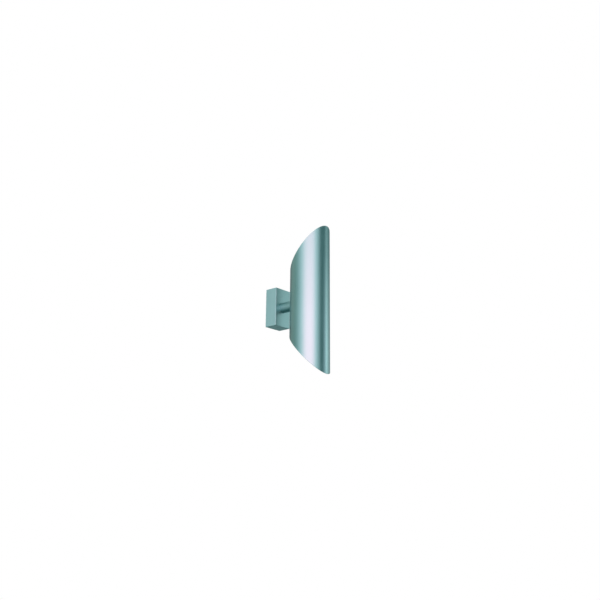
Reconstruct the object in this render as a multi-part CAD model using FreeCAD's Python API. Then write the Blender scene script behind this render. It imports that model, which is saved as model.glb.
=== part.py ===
"""Wall light that throws its light up and down: an oval aluminium tube, cut slanting at
both ends, held off a small upright wall box by a short round arm.

Millimetres. The wall is the plane y = 0 and the light stands out towards -y. +z is up,
x = 0 is the middle, and the origin is the middle of the two wall slots, on the wall.
"""
import FreeCAD
import Part
import math
import os

os.makedirs("parts", exist_ok=True)
Vector = FreeCAD.Vector
UP = Vector(0, 0, 1)
TO_WALL = Vector(0, 1, 0)
TO_ROOM = Vector(0, -1, 0)

# Fits and small sizes used in more than one place
slip = 0.1            # radial play of a pin, screw or tube in its hole
free_play = 0.5       # gap where one piece drops into another
past = 1.0            # how far a cutting tool runs past the face it cuts
near = 0.01           # how close counts as lying on a plane

# Wall box
box_width = 53.0
box_height = 100.0
box_depth = 35.0
box_wall = 2.5
box_edge_radius = 0.8
hook_length = 21.0
hook_thickness = 3.0
hook_reach = 1.5      # how far the hook stands past the flange it goes through

# Shade
shade_width = 83.0
shade_depth = 111.0
shade_front_height = 380.0
shade_wall = 2.0
mitre_angle = 45.0
rim_radius = 0.4

# Arm and the threaded tube that clamps it
arm_diameter = 27.0
arm_length = 35.0     # from the box's front to the nearest line of the shade
nipple_diameter = 13.0
nipple_bore = 10.0
nipple_end = 0.5      # how far it stands past each nut
nut_across_flats = 17.0
nut_thickness = 4.0
washer_diameter = 20.0
washer_thickness = 1.0
washer_teeth = 12
tooth_gap_width = 1.6
tooth_gap_depth = 1.8
bush_flange = 0.8
bush_wall = 0.8
bush_depth = 5.0
dowel_diameter = 3.0
dowel_spacing = 19.0
dowel_in_arm = 6.0
backing_width = 36.0
backing_height = 60.0
backing_thickness = 2.0

# Wall plate
plate_thickness = 2.0
flange_width = 30.0
flange_reach = 14.0
bend_radius = 1.0
slot_spacing = 74.0
slot_width = 4.5
slot_length = 10.0
plate_corner_radius = 3.0
cable_bore = 9.0
cable_bush_wall = 2.0
cable_bush_flange = 1.5
cable_bush_lip = 1.5
cable_height = 14.0   # of the cable entry above the middle

# Screws: diameter, length under the head, head diameter, head height
box_screw = (4.0, 8.0, 7.6, 2.2)
box_screw_spacing = 18.0
box_screw_socket = 2.5
pan_screw = (3.0, 6.5, 5.4, 1.8)
earth_screw = (4.0, 4.0, 7.0, 2.4)
block_screw = (2.5, 4.2, 1.6)   # diameter, head diameter, head height
slot_cut = 0.8        # width of a screwdriver slot

# Terminal block
pole_count = 3
pole_pitch = 8.5
block_length = 17.0
block_base = 3.0
block_axis = 6.5      # height of the clamps above the plate
block_top = 13.0
block_wall = 0.8
block_height = -14.0  # of its middle below the middle of the light
insert_bore = 4.8
insert_wall = 0.6
clamp_screw = 2.6
clamp_screw_spacing = 9.0

# Lamp carrier
saddle_width = 24.0
saddle_height = 40.0
saddle_thickness = 6.0
bracket_width = 32.0
bracket_thickness = 2.0
bracket_gap = 26.0    # between its two shelves
shelf_end_margin = 9.5
holder_diameter = 31.0
holder_height = 15.0
holder_face = 2.5
chamber_diameter = 16.4
chamber_height = 4.5
holder_screw_spacing = 23.6
holder_screw_sink = 3.5
lead_hole = 16.0
pillar_across_flats = 5.5
pillar_spacing = 74.0
pillar_thread_depth = 9.0
baffle_level = 74.0   # of the baffles' outer faces from the middle
baffle_thickness = 1.2
baffle_skirt = 8.0
vents_per_side = 5
vent_diameter = 4.0
vent_step = 20.0      # degrees from one vent to the next

# Lamps, twist-lock reflector type
lamp_length = 50.0
lamp_diameter = 50.0
lamp_seat_play = 0.3
lamp_hole_play = 2.0
lamp_base_diameter = 23.0
lamp_base_height = 12.0
lamp_neck_diameter = 24.0
lamp_rim_height = 6.0
lamp_rim_wall = 1.6
lamp_glass_thickness = 2.2
lamp_glass_sink = 1.3
lamp_pocket_depth = 4.0
capsule_diameter = 9.2
capsule_length = 26.4
pin_spacing = 10.0
pin_stem_diameter = 2.6
pin_stem_length = 3.3
pin_head_diameter = 4.8
pin_head_length = 3.0
contact_play = 0.2
contact_barrel = 3.2
contact_disc = 4.6
contact_recess = 1.0
twist_to_free = 25.0  # degrees from locked to free

# Leads
lead_diameter = 2.2
lead_ring = 2.6       # radius on which the leads lie in the threaded tube
lead_bend = 5.0
beside_share = 0.52   # of the lead's diameter: two leads in one clamp, side by side
rise_gap = 1.5        # from the terminal block to the leads in front of it
tag_thickness = 0.8
tag_diameter = 8.0
tag_barrel = 3.4
tag_barrel_length = 6.0
tag_side = 15.0       # sideways place of the wall plate's earth point
tag_height = 24.0     # height of the wall plate's earth point
shelf_tag_side = 9.0  # sideways place of the bracket's earth point
shelf_tag_ahead = 25.5

# Places along y that follow from the sizes above
box_front = -box_depth
shade_back = box_front - arm_length
shade_middle = shade_back - shade_depth / 2
shade_front = shade_back - shade_depth
bracket_back = shade_back - shade_wall - saddle_thickness
bracket_front = bracket_back - bracket_thickness
box_inside = box_front + box_wall
box_washer_face = box_inside + backing_thickness
box_nut_face = box_washer_face + washer_thickness
nipple_start = box_nut_face + nut_thickness + nipple_end
shade_nut_face = bracket_front - washer_thickness
nipple_finish = shade_nut_face - nut_thickness - nipple_end
plate_front = -plate_thickness
block_axis_y = plate_front - block_axis
block_front = plate_front - block_top
flange_middle = plate_front - (flange_reach - plate_thickness) / 2

# Heights that follow
plate_half_height = box_height / 2 - box_wall - free_play
plate_half_width = box_width / 2 - box_wall - 2 * free_play
shelf_top = bracket_gap / 2 + bracket_thickness
holder_top = shelf_top + holder_height
lamp_seat = holder_top + lamp_seat_play


def block(x, y, z):
    """A rectangular solid between three pairs of limits."""
    low = Vector(min(x), min(y), min(z))
    high = Vector(max(x), max(y), max(z))
    size = high - low
    return Part.makeBox(size.x, size.y, size.z, low)


def rod(diameter, start, end):
    """A round bar from one point to another."""
    return Part.makeCylinder(diameter / 2, (end - start).Length, start, end - start)


def along_y(diameter, x, z, y_from, y_to):
    """A round bar square to the wall."""
    return rod(diameter, Vector(x, y_from, z), Vector(x, y_to, z))


def along_z(diameter, x, y, z_from, z_to):
    """An upright round bar."""
    return rod(diameter, Vector(x, y, z_from), Vector(x, y, z_to))


def polar(radius, degrees, height=0.0):
    """A point at a distance and a bearing from the z axis."""
    turn = math.radians(degrees)
    return Vector(radius * math.cos(turn), radius * math.sin(turn), height)


def hexagon(across_flats, length):
    """A six-sided bar standing on the origin, with its corners taken off at both ends."""
    corner = across_flats / math.sqrt(3)
    bar = Part.Face(Part.makePolygon([polar(corner, 60 * k) for k in range(7)]))
    bar = bar.extrude(Vector(0, 0, length))
    turned = Part.makeCylinder(corner, length)
    turned = turned.makeChamfer(0.8 * (corner - across_flats / 2), turned.Edges)
    return bar.common(turned)


def oval(half_width, half_depth, low, high):
    """An upright solid with the shade's oval section."""
    centre = Vector(0, shade_middle, low)
    ends = [Vector(0, half_depth, 0), Vector(half_width, 0, 0)]
    ends.sort(key=lambda end: -end.Length)
    curve = Part.Ellipse(centre + ends[0], centre + ends[1], centre)
    return Part.Face(Part.Wire(curve.toShape())).extrude(Vector(0, 0, high - low))


def shade_core(inset, low, high):
    """The space inside the shade's outer face, drawn in by an inset."""
    return oval(shade_width / 2 - inset, shade_depth / 2 - inset, low, high)


def lathe(outline):
    """A solid turned about the z axis. A point is (radius, height); a pair of points is
    the middle and the end of an arc."""
    edges = []
    here = Vector(outline[0][0], 0, outline[0][1])
    for step in outline[1:] + outline[:1]:
        if isinstance(step[0], tuple):
            middle = Vector(step[0][0], 0, step[0][1])
            there = Vector(step[1][0], 0, step[1][1])
            edges.append(Part.Arc(here, middle, there).toShape())
        else:
            there = Vector(step[0], 0, step[1])
            edges.append(Part.makeLine(here, there))
        here = there
    return Part.Face(Part.Wire(edges)).revolve(Vector(0, 0, 0), UP, 360)


def placed(shape, place, direction=UP):
    """A copy of a piece made on the z axis, with z turned to a direction and moved."""
    copy = shape.copy()
    copy.Placement = FreeCAD.Placement(place, FreeCAD.Rotation(UP, direction))
    return copy


def laid(shape, place, face, ahead):
    """A copy of a piece made on the z axis, with z turned to face and x turned to ahead."""
    copy = shape.copy()
    copy.Placement = FreeCAD.Placement(place, FreeCAD.Rotation(ahead, face.cross(ahead), face, "ZXY"))
    return copy


def turned_down(shape):
    """The lower copy of an upper piece: half a turn about the arm's axis."""
    copy = shape.copy()
    copy.rotate(Vector(0, 0, 0), TO_WALL, 180)
    return copy


def both(shape):
    """An upper piece together with its lower copy."""
    return [shape, turned_down(shape)]


def top_edges(shape):
    """The edges that lie in a shape's uppermost face."""
    return [edge for edge in shape.Edges if edge.BoundBox.ZMin > shape.BoundBox.ZMax - near]


def through_edges(shape):
    """The edges that run through a plate from the wall's side to the room's side."""
    return [edge for edge in shape.Edges if edge.BoundBox.YLength > shape.BoundBox.YLength - near]


def bend_edges(shape, y):
    """The sideways edges of a bent strip that lie at one distance from the wall."""
    return [edge for edge in shape.Edges
            if edge.BoundBox.XLength > shape.BoundBox.XLength - near
            and abs(edge.CenterOfMass.y - y) < near]


def slotted_screw(size):
    """A screw with a round head above the origin and its shank below it."""
    diameter, length, head, head_height = size
    top = along_z(head, 0, 0, 0, head_height)
    top = top.makeFillet(head_height / 3, top_edges(top))
    shank = along_z(diameter - slip, 0, 0, -length, past / 2)
    slot = block((-head, head), (-slot_cut / 2, slot_cut / 2), (head_height / 2, head_height + past))
    return top.fuse(shank).cut(slot).removeSplitter()


def socket_screw(size, socket):
    """A screw with a domed head and a six-sided socket."""
    diameter, length, head, head_height = size
    dome = lathe([(0, 0), (head / 2, 0), (head / 2, head_height / 4),
                  ((head / 2.9, head_height * 0.78), (head / 5, head_height)), (0, head_height)])
    shank = along_z(diameter - slip, 0, 0, -length, past / 2)
    recess = placed(hexagon(socket, head_height), Vector(0, 0, head_height * 0.35))
    return dome.fuse(shank).cut(recess).removeSplitter()


def write(name, solids):
    """Save one node, made of one or more separate solids."""
    pieces = solids if isinstance(solids, list) else [solids]
    found = [solid for piece in pieces for solid in piece.Solids]
    shape = found[0] if len(found) == 1 else Part.makeCompound(found)
    shape.exportStep(f"parts/{name}.step")


# Places of repeated pieces

def box_screw_places():
    return [Vector(side * box_screw_spacing / 2, flange_middle, box_height / 2) for side in (-1, 1)]


def block_screw_places():
    return [Vector(side * pole_pitch / 2, block_axis_y, block_height) for side in (-1, 1)]


def pillar_places():
    return [Vector(0, shade_middle + side * pillar_spacing / 2, shelf_top) for side in (-1, 1)]


def holder_screw_places():
    top = holder_top - holder_screw_sink
    return [Vector(0, shade_middle + side * holder_screw_spacing / 2, top) for side in (-1, 1)]


def pole_places():
    first = -(pole_count - 1) / 2
    return [(first + k) * pole_pitch for k in range(pole_count)]


def clamp_screw_heights():
    return [block_height + side * clamp_screw_spacing / 2 for side in (-1, 1)]


def shelf_tag_place():
    return Vector(shelf_tag_side, shade_middle - shelf_tag_ahead, bracket_gap / 2)


def plate_tag_place():
    return Vector(tag_side, plate_front, tag_height)


# Wall side

def make_wall_plate():
    """The steel plate that is screwed to the wall, with two flanges that hold the box."""
    half = flange_width / 2
    inner = plate_half_height - plate_thickness
    plate = block((-plate_half_width, plate_half_width), (plate_front, 0),
                  (-plate_half_height, plate_half_height))
    plate = plate.makeFillet(plate_corner_radius, through_edges(plate))
    channel = block((-half, half), (-flange_reach, 0), (-plate_half_height, plate_half_height))
    channel = channel.cut(block((-half - past, half + past), (-flange_reach - past, plate_front),
                                (-inner, inner)))
    channel = channel.makeFillet(bend_radius, bend_edges(channel, plate_front))
    channel = channel.makeFillet(bend_radius + plate_thickness, bend_edges(channel, 0))
    flat = inner - bend_radius
    for low, high in ((-box_height, -flat), (flat, box_height)):
        plate = plate.cut(block((-half, half), (plate_front - past, past), (low, high)))
    plate = plate.fuse(channel)
    through = (plate_front - past, past)
    for side in (-1, 1):
        middle = side * slot_spacing / 2
        ends = [middle - (slot_length - slot_width) / 2, middle + (slot_length - slot_width) / 2]
        for z in ends:
            plate = plate.cut(along_y(slot_width, 0, z, *through))
        plate = plate.cut(block((-slot_width / 2, slot_width / 2), through, ends))
    plate = plate.cut(along_y(cable_bore + 2 * cable_bush_wall, 0, cable_height, *through))
    for place in box_screw_places():
        plate = plate.cut(along_z(box_screw[0], place.x, place.y, 0, place.z))
    window = hook_thickness / 2 + free_play
    plate = plate.cut(block((-hook_length / 2 - free_play, hook_length / 2 + free_play),
                            (flange_middle - window, flange_middle + window),
                            (-box_height / 2, -inner + past)))
    for place in block_screw_places():
        plate = plate.cut(along_y(block_screw[0], place.x, place.z, *through))
    earth = plate_tag_place()
    return plate.cut(along_y(earth_screw[0], earth.x, earth.z, *through)).removeSplitter()


def make_cable_bush():
    """The rubber bush that the supply cable comes through."""
    body = cable_bore + 2 * cable_bush_wall
    bush = along_z(body - slip, 0, 0, -plate_thickness, 0)
    lip = along_z(body + 2 * cable_bush_lip, 0, 0, 0, cable_bush_flange)
    lip = lip.makeFillet(cable_bush_flange / 2, top_edges(lip))
    bore = along_z(cable_bore, 0, 0, -plate_thickness - past, cable_bush_flange + past)
    bush = bush.fuse(lip).cut(bore).removeSplitter()
    return placed(bush, Vector(0, plate_front, cable_height), TO_ROOM)


def make_terminal_block():
    """The plastic body of the three-pole terminal block."""
    low = block_height - block_length / 2
    high = block_height + block_length / 2
    width = pole_count * pole_pitch
    clamp = insert_bore + 2 * insert_wall
    tower = clamp + 2 * slip
    shell = tower + 2 * block_wall
    body = block((-width / 2, width / 2), (plate_front, plate_front - block_base), (low, high))
    for x in pole_places():
        body = body.fuse(block((x - shell / 2, x + shell / 2),
                               (plate_front, block_axis_y - clamp / 2 - past), (low, high)))
        for z in clamp_screw_heights():
            body = body.fuse(along_y(tower, x, z, plate_front, block_front))
    for x in pole_places():
        body = body.cut(along_z(clamp + slip, x, block_axis_y, low - past, high + past))
        for z in clamp_screw_heights():
            body = body.cut(along_y(clamp_screw + 2 * slip, x, z, block_axis_y, block_front - past))
    for place in block_screw_places():
        deep = block_front - past
        body = body.cut(along_y(block_screw[0] + slip, place.x, place.z, past, deep))
        body = body.cut(along_y(block_screw[1] + 2 * slip, place.x, place.z,
                                plate_front - block_base, deep))
    return body.removeSplitter()


def make_terminal_inserts():
    """The brass tubes in which the wires are clamped."""
    tubes = []
    outer = insert_bore + 2 * insert_wall
    low = block_height - block_length / 2 + past
    high = block_height + block_length / 2 - past
    for x in pole_places():
        tube = along_z(outer, x, block_axis_y, low, high)
        tube = tube.cut(along_z(insert_bore, x, block_axis_y, low - past, high + past))
        for z in clamp_screw_heights():
            tube = tube.cut(along_y(clamp_screw + slip, x, z, block_axis_y, block_axis_y - outer))
        tubes.append(tube)
    return tubes


def make_terminal_screws():
    """Six headless clamp screws, two to a pole, standing just clear of the wires."""
    screws = []
    tip = block_axis_y - lead_diameter / 2 - slip
    top = block_front + free_play
    for x in pole_places():
        for z in clamp_screw_heights():
            slot = block((x - clamp_screw, x + clamp_screw), (block_front, top + slot_cut),
                         (z - slot_cut / 4, z + slot_cut / 4))
            screws.append(along_y(clamp_screw, x, z, tip, top).cut(slot))
    return screws


def make_block_screws():
    """The two screws that hold the terminal block to the wall plate."""
    seat = plate_front - block_base
    size = (block_screw[0], block_base + plate_thickness, block_screw[1], block_screw[2])
    return [placed(slotted_screw(size), Vector(place.x, seat, place.z), TO_ROOM)
            for place in block_screw_places()]


def make_earth_tags():
    """The ring tags of the two earth leads: one on the wall plate, one on the bracket."""
    ring = along_z(tag_diameter, 0, 0, 0, tag_thickness)
    neck = block((0, tag_diameter / 2 + tag_thickness), (-tag_barrel / 2, tag_barrel / 2),
                 (0, tag_thickness))
    start = Vector(tag_diameter / 2, 0, tag_barrel / 2)
    tag = ring.fuse(neck).fuse(rod(tag_barrel, start, start + Vector(tag_barrel_length, 0, 0)))
    tag = tag.cut(along_z(earth_screw[0] + slip, 0, 0, -past, tag_barrel + past)).removeSplitter()
    return [laid(tag, plate_tag_place(), TO_ROOM, Vector(0, 0, -1)),
            laid(tag, shelf_tag_place(), Vector(0, 0, -1), TO_WALL)]


def make_earth_screws():
    """The screws through the earth tags."""
    on_plate = plate_tag_place() + Vector(0, -tag_thickness, 0)
    on_shelf = shelf_tag_place() + Vector(0, 0, -tag_thickness)
    size = (earth_screw[0], plate_thickness + tag_thickness, earth_screw[2], earth_screw[3])
    return [placed(slotted_screw(size), on_plate, TO_ROOM),
            placed(slotted_screw(earth_screw), on_shelf, Vector(0, 0, -1))]


def make_wall_box():
    """The visible box: five walls, open to the wall, with a hook inside its floor."""
    half_width = box_width / 2
    half_height = box_height / 2
    floor = box_wall - half_height
    box = block((-half_width, half_width), (box_front, 0), (-half_height, half_height))
    box = box.makeFillet(box_edge_radius, [edge for edge in box.Edges if edge.BoundBox.YMin < -near])
    box = box.cut(block((box_wall - half_width, half_width - box_wall), (box_inside, past),
                        (floor, -floor)))
    box = box.fuse(block((-hook_length / 2, hook_length / 2),
                         (flange_middle - hook_thickness / 2, flange_middle + hook_thickness / 2),
                         (floor - box_wall / 2, floor + free_play + plate_thickness + hook_reach)))
    through = (box_front - past, box_inside + past)
    box = box.cut(along_y(nipple_diameter + 2 * slip, 0, 0, *through))
    for side in (-1, 1):
        box = box.cut(along_y(dowel_diameter + slip, side * dowel_spacing / 2, 0, *through))
    for place in box_screw_places():
        box = box.cut(along_z(box_screw[0] + 2 * slip, place.x, place.y, -floor - past, half_height + past))
    return box.removeSplitter()


def make_box_screws():
    """The two screws in the top of the box, out of sight from below."""
    return [placed(socket_screw(box_screw, box_screw_socket), place) for place in box_screw_places()]


# Arm

def make_backing_plate():
    """The steel plate that spreads the nut's pull over the box's front wall."""
    plate = block((-backing_width / 2, backing_width / 2), (box_inside, box_washer_face),
                  (-backing_height / 2, backing_height / 2))
    plate = plate.makeFillet(plate_corner_radius, through_edges(plate))
    through = (box_inside - past, box_washer_face + past)
    plate = plate.cut(along_y(nipple_diameter + 2 * slip, 0, 0, *through))
    for side in (-1, 1):
        plate = plate.cut(along_y(dowel_diameter + slip, side * dowel_spacing / 2, 0, *through))
    return plate


def make_stub_arm():
    """The visible round arm, square at the box and hollowed to sit on the oval shade."""
    hole = dowel_diameter + slip
    arm = along_y(arm_diameter, 0, 0, box_front, shade_middle)
    arm = arm.cut(shade_core(0, -arm_diameter, arm_diameter))
    arm = arm.cut(along_y(nipple_diameter + 2 * slip, 0, 0, box_front + past, shade_middle))
    for side in (-1, 1):
        offset = side * dowel_spacing / 2
        arm = arm.cut(along_y(hole, offset, 0, box_front + past, box_front - dowel_in_arm - slip))
        arm = arm.cut(along_y(hole, 0, offset, shade_back + dowel_in_arm + slip, shade_middle))
    return arm.Solids[0]


def make_box_dowels():
    """Two pins beside the threaded tube that stop the arm turning on the box."""
    return [along_y(dowel_diameter, side * dowel_spacing / 2, 0, box_washer_face, box_front - dowel_in_arm)
            for side in (-1, 1)]


def make_shade_dowels():
    """Two pins above and below the threaded tube that stop the shade turning on the arm."""
    return [along_y(dowel_diameter, 0, side * dowel_spacing / 2, shade_back + dowel_in_arm, bracket_back)
            for side in (-1, 1)]


def make_arm_nipple():
    """The threaded tube that clamps box, arm, shade and bracket together and carries the leads."""
    tube = along_y(nipple_diameter, 0, 0, nipple_start, nipple_finish)
    tube = tube.makeChamfer(nipple_end, tube.Edges)
    return tube.cut(along_y(nipple_bore, 0, 0, nipple_start + past, nipple_finish - past))


def make_nipple_nuts():
    """The nuts at the two ends of the threaded tube."""
    nut = hexagon(nut_across_flats, nut_thickness)
    nut = nut.cut(along_z(nipple_diameter + slip, 0, 0, -past, nut_thickness + past))
    return [placed(nut, Vector(0, box_nut_face, 0), TO_WALL),
            placed(nut, Vector(0, shade_nut_face, 0), TO_ROOM)]


def make_lock_washers():
    """Toothed washers under the nuts."""
    washer = along_z(washer_diameter, 0, 0, 0, washer_thickness)
    washer = washer.cut(along_z(nipple_diameter + 2 * slip, 0, 0, -past, washer_thickness + past))
    gap = block((washer_diameter / 2 - tooth_gap_depth, washer_diameter),
                (-tooth_gap_width / 2, tooth_gap_width / 2), (-past, washer_thickness + past))
    for k in range(washer_teeth):
        cut = gap.copy()
        cut.rotate(Vector(0, 0, 0), UP, 360 * k / washer_teeth)
        washer = washer.cut(cut)
    return [placed(washer, Vector(0, box_washer_face, 0), TO_WALL),
            placed(washer, Vector(0, bracket_front, 0), TO_ROOM)]


def make_nipple_bushes():
    """Plastic bushes that keep the leads off the edges of the threaded tube."""
    outer = nipple_bore - slip
    bush = along_z(outer, 0, 0, -bush_depth, 0)
    bush = bush.fuse(along_z(nipple_diameter - 2 * nipple_end, 0, 0, 0, bush_flange))
    bore = along_z(outer - 2 * bush_wall, 0, 0, -bush_depth - past, bush_flange + past)
    bush = bush.cut(bore).removeSplitter()
    return [placed(bush, Vector(0, nipple_start, 0), TO_WALL),
            placed(bush, Vector(0, nipple_finish, 0), TO_ROOM)]


# Shade and lamp carrier

def beyond_mitre(side):
    """Everything past one slanted end of the shade: side is 1 for the top, -1 for the bottom."""
    fall = math.tan(math.radians(mitre_angle))
    margin = shade_wall + past
    high = shade_front_height / 2 + margin * fall
    low = shade_front_height / 2 - (shade_depth + margin) * fall
    corners = [(shade_front - margin, high), (shade_back + margin, low),
               (shade_back + margin, high + past), (shade_front - margin, high + past)]
    points = [Vector(-shade_width, y, side * z) for y, z in corners]
    return Part.Face(Part.makePolygon(points + points[:1])).extrude(Vector(2 * shade_width, 0, 0))


def make_shade_tube():
    """The oval tube with both ends cut slanting, long at the front and short at the back."""
    half = shade_front_height / 2 + past
    tube = shade_core(0, -half, half).cut(shade_core(shade_wall, -half - past, half + past))
    for side in (-1, 1):
        tube = tube.cut(beyond_mitre(side))
    rims = [edge for edge in tube.Edges if edge.BoundBox.XLength > near]
    tube = tube.makeFillet(rim_radius, rims)
    tube = tube.cut(along_y(nipple_diameter + 2 * slip, 0, 0, shade_back + past, bracket_back))
    for side in (-1, 1):
        tube = tube.cut(along_y(dowel_diameter + slip, 0, side * dowel_spacing / 2,
                                shade_back + past, bracket_back))
    return tube


def make_saddle_block():
    """The block inside the shade that gives the bracket and nut a flat seat."""
    half = saddle_height / 2
    through = (shade_back, bracket_back - past)
    saddle = block((-saddle_width / 2, saddle_width / 2), (bracket_back, shade_back), (-half, half))
    saddle = saddle.common(shade_core(shade_wall, -half, half))
    saddle = saddle.cut(along_y(nipple_diameter + 2 * slip, 0, 0, *through))
    for side in (-1, 1):
        saddle = saddle.cut(along_y(dowel_diameter + slip, 0, side * dowel_spacing / 2, *through))
    return saddle


def make_lamp_bracket():
    """The bent steel bracket: a back leg and two shelves, one for each lampholder."""
    half = bracket_width / 2
    inner = bracket_gap / 2
    end = shade_middle - pillar_spacing / 2 - shelf_end_margin / 2
    bracket = block((-half, half), (end, bracket_back), (-shelf_top, shelf_top))
    bracket = bracket.cut(block((-half - past, half + past), (end - past, bracket_front),
                                (-inner, inner)))
    bracket = bracket.makeFillet(bend_radius, bend_edges(bracket, bracket_front))
    bracket = bracket.makeFillet(bend_radius + bracket_thickness, bend_edges(bracket, bracket_back))
    bracket = bracket.cut(along_y(nipple_diameter + 2 * slip, 0, 0,
                                  bracket_back + past, bracket_front - past))
    holes = [(Vector(0, shade_middle, 0), lead_hole)]
    holes += [(place, pan_screw[0] + slip) for place in pillar_places() + holder_screw_places()]
    for place, diameter in holes:
        for drill in both(along_z(diameter, place.x, place.y, inner - past, shelf_top + past)):
            bracket = bracket.cut(drill)
    earth = shelf_tag_place()
    return bracket.cut(along_z(earth_screw[0], earth.x, earth.y, inner - past, shelf_top + past))


def make_upper_lampholder():
    """The ceramic holder: two keyhole slots over a round chamber for the lamp's pins."""
    middle = Vector(0, shade_middle, 0)
    under = holder_top - holder_face
    floor = under - chamber_height
    head = pin_head_diameter + 7 * slip
    stem = pin_stem_diameter + 6 * slip
    body = along_z(holder_diameter, 0, shade_middle, shelf_top, holder_top)
    body = body.makeFillet(2 * rim_radius, top_edges(body))
    body = body.cut(along_z(chamber_diameter, 0, shade_middle, floor, under))
    track = Part.makeCylinder((pin_spacing + stem) / 2, holder_face + 2 * past,
                              Vector(0, 0, under - past), UP, twist_to_free)
    track = track.cut(along_z(pin_spacing - stem, 0, 0, floor, holder_top + 2 * past))
    for bearing in (0, 180):
        way_in = placed(along_z(head, 0, 0, under - past, holder_top + past),
                        middle + polar(pin_spacing / 2, bearing + twist_to_free))
        locked = placed(along_z(stem, 0, 0, under - past, holder_top + past),
                        middle + polar(pin_spacing / 2, bearing))
        slot = track.copy()
        slot.rotate(Vector(0, 0, 0), UP, bearing)
        slot.translate(middle)
        barrel = placed(along_z(contact_barrel + 2 * slip, 0, 0, shelf_top - past, floor + past),
                        middle + polar(pin_spacing / 2, bearing))
        for tool in (way_in, locked, slot, barrel):
            body = body.cut(tool)
    for place in holder_screw_places():
        body = body.cut(along_z(pan_screw[0] + 3 * slip, 0, place.y, shelf_top - past, holder_top + past))
        body = body.cut(along_z(pan_screw[2] + 6 * slip, 0, place.y, place.z, holder_top + past))
    return body


def make_upper_contacts():
    """The two contacts in the upper holder, just short of the pins."""
    floor = holder_top - holder_face - chamber_height
    tip = lamp_seat - pin_stem_length - pin_head_length - contact_play
    contacts = []
    for side in (-1, 1):
        x = side * pin_spacing / 2
        barrel = along_z(contact_barrel, x, shade_middle, shelf_top + contact_recess, tip)
        contacts.append(barrel.fuse(along_z(contact_disc, x, shade_middle, floor, tip)).removeSplitter())
    return contacts


def make_holder_screws():
    """The screws that hold the upper lampholder to its shelf."""
    reach = holder_height - holder_screw_sink + bracket_thickness
    size = (pan_screw[0], reach, pan_screw[2], pan_screw[3])
    return [placed(slotted_screw(size), place) for place in holder_screw_places()]


def make_pillars():
    """Six-sided pillars that carry the upper baffle."""
    length = baffle_level - baffle_thickness - shelf_top
    pillar = hexagon(pillar_across_flats, length)
    for start in (-past, length - pillar_thread_depth):
        pillar = pillar.cut(along_z(pan_screw[0] + slip, 0, 0, start, start + pillar_thread_depth + past))
    return [placed(pillar, place) for place in pillar_places()]


def make_pillar_screws():
    """The screws that come up through the shelf into the pillars."""
    seat = bracket_gap / 2
    return [placed(slotted_screw(pan_screw), Vector(0, place.y, seat), Vector(0, 0, -1))
            for place in pillar_places()]


def make_baffle_screws():
    """The screws that hold the upper baffle to its pillars."""
    return [placed(slotted_screw(pan_screw), Vector(0, place.y, baffle_level))
            for place in pillar_places()]


def make_upper_baffle():
    """The pressed oval plate round the upper lamp, with a turned-in edge and vents."""
    inset = shade_wall + free_play
    skirt_end = baffle_level - baffle_skirt
    over = baffle_level + past
    pan = shade_core(inset, skirt_end, baffle_level)
    pan = pan.makeFillet(baffle_thickness, top_edges(pan))
    pan = pan.cut(shade_core(inset + baffle_thickness, skirt_end - past, baffle_level - baffle_thickness))
    hole = lamp_diameter + 2 * lamp_hole_play
    pan = pan.cut(along_z(hole, 0, shade_middle, 0, over))
    for place in pillar_places():
        pan = pan.cut(along_z(pan_screw[0] + 3 * slip, 0, place.y, 0, over))
    across = (hole / 2 + shade_width / 2 - inset) / 2
    along = (hole / 2 + shade_depth / 2 - inset) / 2
    for side in (0, 180):
        for k in range(vents_per_side):
            turn = math.radians(side + (k - (vents_per_side - 1) / 2) * vent_step)
            x = across * math.cos(turn)
            y = shade_middle + along * math.sin(turn)
            pan = pan.cut(along_z(vent_diameter, x, y, 0, over))
    return pan


# Lamps

def on_lamp_axis(shape):
    """Move a lamp piece, made on the z axis with its seat at zero, to the upper holder."""
    return placed(shape, Vector(0, shade_middle, lamp_seat))


def make_lamp_base():
    """The lamp's ceramic foot, with a pocket for the capsule."""
    radius = lamp_base_diameter / 2
    foot = along_z(lamp_base_diameter, 0, 0, 0, lamp_base_height)
    foot = foot.makeFillet(radius / 12, [edge for edge in foot.Edges if edge.BoundBox.ZMax < near])
    pocket = along_z(capsule_diameter + 4 * slip, 0, 0, lamp_base_height - lamp_pocket_depth,
                     lamp_base_height + past)
    return on_lamp_axis(foot.cut(pocket))


def make_lamp_pins():
    """The two locking pins."""
    pins = []
    for side in (-1, 1):
        x = side * pin_spacing / 2
        stem = along_z(pin_stem_diameter, x, 0, -pin_stem_length, 0)
        head = along_z(pin_head_diameter, x, 0, -pin_stem_length - pin_head_length, -pin_stem_length)
        pins.append(on_lamp_axis(stem.fuse(head).removeSplitter()))
    return pins


def make_lamp_reflector():
    """The glass reflector with a rim that holds the front glass."""
    rim = lamp_diameter / 2
    ledge = lamp_length - lamp_glass_sink - lamp_glass_thickness
    flare = lamp_length - lamp_rim_height
    neck = lamp_neck_diameter / 2
    throat = capsule_diameter / 2 + 4 * slip
    seat = rim - lamp_rim_wall
    low = lamp_base_height
    outer_middle = (neck + 0.6 * (rim - neck), low + 0.39 * (flare - low))
    inner_middle = (throat + 0.64 * (seat - throat), low + 0.42 * (flare - low))
    inner_end = (seat - past, flare)
    shell = lathe([(throat, low), (neck, low), (outer_middle, (rim, flare)), (rim, lamp_length),
                   (seat, lamp_length), (seat, ledge), (seat - past, ledge), inner_end,
                   (inner_middle, (throat, low + 4 * past))])
    return on_lamp_axis(shell)


def make_lamp_capsule():
    """The small quartz capsule in the reflector's throat."""
    radius = capsule_diameter / 2
    low = lamp_base_height - lamp_pocket_depth
    shoulder = low + capsule_length - radius
    bulge = radius * math.sqrt(0.5)
    return on_lamp_axis(lathe([(0, low), (radius, low), (radius, shoulder),
                               ((bulge, shoulder + bulge), (0, shoulder + radius))]))


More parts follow.
